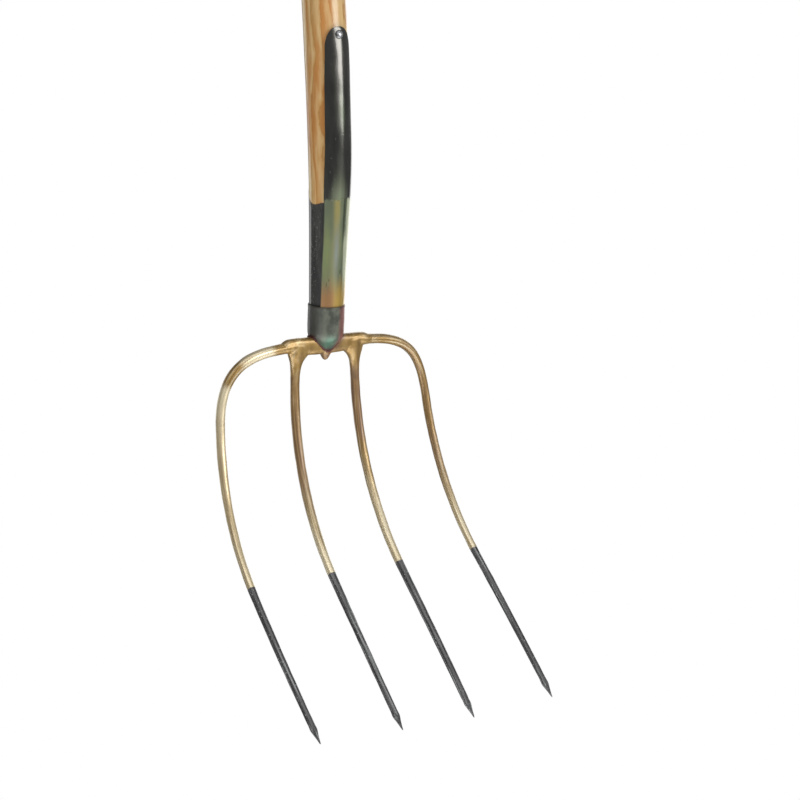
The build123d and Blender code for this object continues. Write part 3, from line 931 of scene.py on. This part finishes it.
def bridge_heat(p):
    """How brown the bridge is: most at the sleeve's seam and on the stub, less on the roots."""
    left = p.x < 0
    from_seam = abs(abs(p.x) - 0.9 * (p.z + 6))
    near_cone = blend(1.1, 0.15, from_seam / 4.0) if left else blend(1.45, 0.35, from_seam / 9.0)
    if abs(p.x) < 7:
        below = blend(1.0, 0.2, (p.z + 10) / 5)
    else:
        below = blend(0.52 if left else 0.62, 0.0, (p.z + 26) / 18)
    return max(blend(near_cone, 0.10 if left else 0.30, (abs(p.x) - 20) / 14), below)


def blended_skin(solids, voxel, rounds):
    """Head-frame points and normals, and faces, of one smooth skin round some solids."""
    points, faces = [], []
    for some, quads in solids:
        start = len(points)
        points += some
        faces += [tuple(start + k for k in quad) for quad in quads]
    work = new_object(make_mesh("bridge_solids", points, faces, points))
    remesh = work.modifiers.new("skin", "REMESH")
    remesh.mode = "VOXEL"
    remesh.voxel_size = voxel * MM
    soft = work.modifiers.new("blend", "SMOOTH")
    soft.factor = 0.5
    soft.iterations = rounds
    bpy.context.view_layer.update()
    skin = bpy.data.meshes.new_from_object(work.evaluated_get(bpy.context.evaluated_depsgraph_get()))
    bpy.data.objects.remove(work)
    back = HEAD_TO_ROW.inverted()
    points = [back @ v.co for v in skin.vertices]
    normals = [(back.to_3x3() @ v.normal).normalized() for v in skin.vertices]
    return points, normals, [tuple(face.vertices) for face in skin.polygons]


def make_bridge(material):
    """The forged bridge: its solids blended into one skin, then dented like forged work."""
    inset, voxel, rounds = 0.05, 0.5, 14
    solids = [crossbar_solid(), flare_solid(-1, TINE_X["inner_left"]),
              flare_solid(1, TINE_X["inner_right"]), arm_solid(-1), arm_solid(1), stub_solid()]
    points, normals, faces = blended_skin(solids, voxel, rounds)
    dented = [p + n * (rough(p, 7.0, 0.18) + rough(p, 2.4, 0.03, 4.0) - inset)
              for p, n in zip(points, normals)]
    stored = {"brown_or_painted_highlight": [bridge_heat(p) for p in points], "dip": [-p.z - DIP_U for p in points],
              "drawing": [ROOT_DRAWING] * len(points)}
    mesh = make_mesh("bridge_fine", dented, faces, points, stored)
    add_piece(mesh, material, ["bridge"])


# ---- Tines ----
POINT_SHAPE = ((0.0, 0.40, 0.32), (2.0, 0.80, 0.65), (5.0, 1.35, 1.10), (8.5, 2.15, 1.70),
               (11.5, 2.95, 2.20), (13.5, 3.15, 2.50),
               (16.0, 2.90, 2.62))  # from the tip, half width, half depth
POINT_REACH = 20.0
TIP_GAP = 0.15  # keeps the points inside the CAD model's box
# Brown tint along each tine where a value is above 0; below 0 a value paints pale cream stretches, which
# are painted highlights.
BROWN_OR_PAINTED_HIGHLIGHT = {"outer_left": ((0, 0.1), (12, 0.0), (26, -0.85), (46, -0.5), (59, 0.30), (66, 0.0), (78, -1.0),
                           (104, -0.5), (150, -0.3), (190, -0.1), (240, -0.2)),
            "inner_left": ((24, 0.52), (60, 0.60), (110, 0.70), (145, 0.42), (178, -0.5)),
            "inner_right": ((24, 0.62), (50, 0.85), (78, 0.80), (100, 0.1), (125, -0.2), (200, -0.2),
                            (400, 0.0)),
            "outer_right": ((0, 0.30), (60, 0.42), (160, 0.60), (225, 0.25),
                            (290, 0.0))}  # run along an outer tine, or u of an inner one; below 0 is pale


def corner_of_arm(law):
    """The four control points (x, u) of the curve that turns an arm into its tine."""
    a, b, _ = law
    reach = (a + b * ARM_START_U - BRIDGE_END_X) / (cos(ARM_SLOPE) - b * sin(ARM_SLOPE))
    x, u = BRIDGE_END_X + reach * cos(ARM_SLOPE), ARM_START_U + reach * sin(ARM_SLOPE)
    size = hypot(b, 1.0)
    slack = 1 - CORNER_PULL
    arm = [(x - cut * cos(ARM_SLOPE), u - cut * sin(ARM_SLOPE)) for cut in (ARM_CUT, ARM_CUT * slack)]
    tine = [(x + cut * b / size, u + cut / size) for cut in (TINE_CUT * slack, TINE_CUT)]
    return arm + tine


def on_corner(points, share):
    """Place and direction (x, u, dx, du) at a share of the way along that curve."""
    rest = 1 - share
    place = [rest ** 3 * p + 3 * rest ** 2 * share * q + 3 * rest * share ** 2 * r + share ** 3 * s
             for p, q, r, s in zip(*points)]
    heading = [rest ** 2 * (q - p) + 2 * rest * share * (r - q) + share ** 2 * (s - r)
               for p, q, r, s in zip(*points)]
    return (*place, *heading)


def outer_path(law, length, step):
    """Stations (x, u, dx, du) of an outer tine on the blank: arm, corner and long tine."""
    corner_steps, overlap = 48, 3.0
    corner = corner_of_arm(law)
    first = BRIDGE_END_X - overlap
    run = corner[0][0] - first
    steps = int(run / step)
    places = [first + run * i / steps for i in range(steps)]
    path = [(x, arm_u(x), cos(ARM_SLOPE), sin(ARM_SLOPE)) for x in places]
    path += [on_corner(corner, i / corner_steps) for i in range(corner_steps)]
    return path + tine_path(law, corner[3][1], length, step)


def tine_path(law, first, length, step):
    """Stations of the long part of a tine, closer together in its point."""
    point_steps = 22
    heights = []
    u = first
    while u < length - POINT_REACH:
        heights.append(u)
        u += step
    heights += [length - POINT_REACH * (1 - i / point_steps) for i in range(point_steps + 1)]
    path = []
    for u in heights:
        x, slope = law_x(law, u)
        path.append((x, u, slope, 1.0))
    return path


def runs_along(path):
    """Length of the path up to each of its stations."""
    runs = [0.0]
    for (x0, u0, _, _), (x1, u1, _, _) in zip(path, path[1:]):
        runs.append(runs[-1] + hypot(x1 - x0, u1 - u0))
    return runs


def make_tine(place, side, material, seed):
    """One tine: a forged bar along its path, drawn to a spear point."""
    count, step, overlap = 24, 1.6, 6.0
    law, length, outer = TINE_X[place], TINE_LENGTH[place] - TIP_GAP, place.startswith("outer")
    path = outer_path(law, length, step) if outer else tine_path(law, ROOT_END_U - overlap, length, step)
    rings, rest, dip, heat, drawing = [], [], [], [], []
    for (x, u, dx, du), run in zip(path, runs_along(path)):
        centre, normal, sideways = blank_frame(side * x, u, side * dx, du)
        from_tip = length - u
        size = between(TINE_R[place], u)
        if not outer:
            size *= blend(0.90, 1.0, (u - ROOT_END_U + overlap) / overlap)
        wide = deep = size
        if from_tip < POINT_REACH:
            wide, deep = columns_at(POINT_SHAPE + ((POINT_REACH, size, size),), from_tip)
        thin = min(wide / 2.5, 1.0)
        ring = []
        power = 2.12 if from_tip > POINT_REACH - 1 else 2.0
        for p in oval(normal, sideways, centre, deep, wide, power, count):
            out = p - centre
            dent = rough((out.x * 0.8, out.y * 0.8, run), 11.0, 0.20, seed)
            dent += rough((out.x, out.y, run), 3.6, 0.03, seed)
            dent *= min(size / 3.5, 1.0) * thin
            ring.append(p + out.normalized() * (dent - 0.06 * thin))
            if outer:
                rest.append((out.dot(sideways), out.dot(normal), run + seed * 40))
            else:
                rest.append((side * x + out.dot(sideways), -TINE_FORWARD + out.dot(normal), -u))
        rings.append(ring)
        dip += [u - DIP_U] * count
        # Brown tint, and painted highlights where the value is below 0.
        heat += [between(BROWN_OR_PAINTED_HIGHLIGHT[place], run if outer else u, eased=outer)] * count
        drawing += [blend(ROOT_DRAWING, 1.0, run / 40.0)] * count
    points, faces = solid_of(rings)
    where, word = place.split("_")
    mesh = make_mesh(where + "_tine_" + word, points, faces, rest,
                     {"dip": dip, "brown_or_painted_highlight": heat, "drawing": drawing})
    weld_close(mesh)
    add_piece(mesh, material, ["tine_" + place])


def make_tines(material):
    """The two outer tines with their arms and the two inner tines."""
    for side, word in ((-1, "left"), (1, "right")):
        make_tine("outer_" + word, side, material, 2.0 + side)
        make_tine("inner_" + word, side, material, 6.0 + side)


# ---- Studio ----
CAMERA_BEARING = radians(35.17)  # from straight in front, towards the fork's left
CAMERA_RISE = radians(6.86)
CAMERA_ROLL = radians(-3.17)
CAMERA_DISTANCE = 2.2346  # metres from the crossbar
CAMERA_ASIDE = 0.0626
CAMERA_BELOW = -0.0465
CAMERA_LENS = 121.5
WORLD_LIGHT = 0.22
CROSSBAR = HEAD_TO_ROW @ Vector((0, 0, 0))


def make_camera():
    """The view of the head from its front left."""
    back = Vector((-sin(CAMERA_BEARING) * cos(CAMERA_RISE), -cos(CAMERA_BEARING) * cos(CAMERA_RISE),
                   sin(CAMERA_RISE)))
    level = Vector((0, 0, 1)).cross(back).normalized()
    upright = back.cross(level)
    right = level * cos(CAMERA_ROLL) + upright * sin(CAMERA_ROLL)
    up = back.cross(right)
    data = bpy.data.cameras.new("camera")
    data.lens = CAMERA_LENS
    camera = new_object(data)
    turn = Matrix((right, up, back)).transposed().to_4x4()
    place = CROSSBAR + back * CAMERA_DISTANCE + right * CAMERA_ASIDE + up * CAMERA_BELOW
    camera.matrix_world = Matrix.Translation(place) @ turn
    bpy.context.scene.camera = camera


def softbox(name, bearing, rise, away, size, brightness, shape="RECTANGLE", slant=0.0):
    """An area light that faces the crossbar, from a bearing (0 is in front) and a height."""
    bearing, rise = radians(bearing), radians(rise)
    offset = Vector((sin(bearing) * cos(rise), -cos(bearing) * cos(rise), sin(rise))) * away
    data = bpy.data.lights.new(name, "AREA")
    data.shape = shape
    data.size, data.size_y = size
    data.energy = brightness * pi * size[0] * size[1]
    lamp = new_object(data)
    aim = (-offset).to_track_quat("-Z", "Y").to_matrix().to_4x4() @ Matrix.Rotation(radians(slant), 4, "Z")
    lamp.matrix_world = Matrix.Translation(CROSSBAR + offset) @ aim
    lamp.visible_camera = False


def white_to_camera(tree, seen, lit, out):
    """Join two shaders so that the camera sees the first and everything else the second."""
    path = tree.nodes.new("ShaderNodeLightPath")
    mix = tree.nodes.new("ShaderNodeMixShader")
    tree.links.new(path.outputs["Is Camera Ray"], mix.inputs[0])
    tree.links.new(lit.outputs[0], mix.inputs[1])
    tree.links.new(seen.outputs[0], mix.inputs[2])
    tree.links.new(mix.outputs[0], out.inputs[0])


def make_floor():
    """A plain pale floor, well below the points."""
    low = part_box("tine_inner_left")[0].z - 0.5
    size = 12.0
    mesh = bpy.data.meshes.new("floor")
    mesh.from_pydata([(-size, -size, low), (size, -size, low), (size, size, low), (-size, size, low)], [],
                     [(0, 1, 2, 3)])
    material = bpy.data.materials.new("pale_floor")
    tree = node_tree(material)
    seen = tree.nodes.new("ShaderNodeEmission")
    seen.inputs[0].default_value = (1, 1, 1, 1)
    lit = tree.nodes.new("ShaderNodeBsdfDiffuse")
    lit.inputs[0].default_value = (0.42, 0.42, 0.42, 1)
    white_to_camera(tree, seen, lit, tree.nodes.new("ShaderNodeOutputMaterial"))
    mesh.materials.append(material)
    new_object(mesh)


def make_world():
    """White surroundings to the camera, and softer grey ones in reflections and for light."""
    world = bpy.data.worlds.new("studio")
    bpy.context.scene.world = world
    tree = node_tree(world)
    seen = tree.nodes.new("ShaderNodeBackground")
    lit = tree.nodes.new("ShaderNodeBackground")
    for node, brightness in ((seen, 1.0), (lit, WORLD_LIGHT)):
        node.inputs[0].default_value = (1, 1, 1, 1)
        node.inputs[1].default_value = brightness
    white_to_camera(tree, seen, lit, tree.nodes.new("ShaderNodeOutputWorld"))


def make_studio():
    """Camera, floor, surroundings and soft lights."""
    make_camera()
    make_floor()
    make_world()
    softbox("key", 25, 8.0, 2.3, (1.9, 0.60), 6.3, "ELLIPSE", -20)
    softbox("top", -10, 60, 2.2, (2.6, 0.9), 1.7)
    softbox("behind", -170, 6, 2.2, (0.9, 1.8), 1.1)
    softbox("low left", -88, -40, 1.4, (0.9, 0.9), 4.6)
    softbox("front", -44, 34, 2.4, (1.6, 1.0), 1.75)
    softbox("under", -20, -66, 0.8, (1.5, 0.9), 2.8)
    softbox("rear", 128, 5, 2.5, (2.0, 2.4), 1.5)
    bpy.context.scene.view_settings.view_transform = "Standard"


# ---- Build ----
gold = forged_gold()
rivet = bright_rivet()
make_handle(ash_wood())
make_tube(black_lacquer())
make_front_strap(strap_finish())
make_rivet(rivet)
make_sleeve(sleeve_finish())
make_weld(dark_weld())
make_bridge(gold)
make_tines(gold)
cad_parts["tang"].data.materials.clear()
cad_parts["tang"].data.materials.append(rivet)
make_studio()
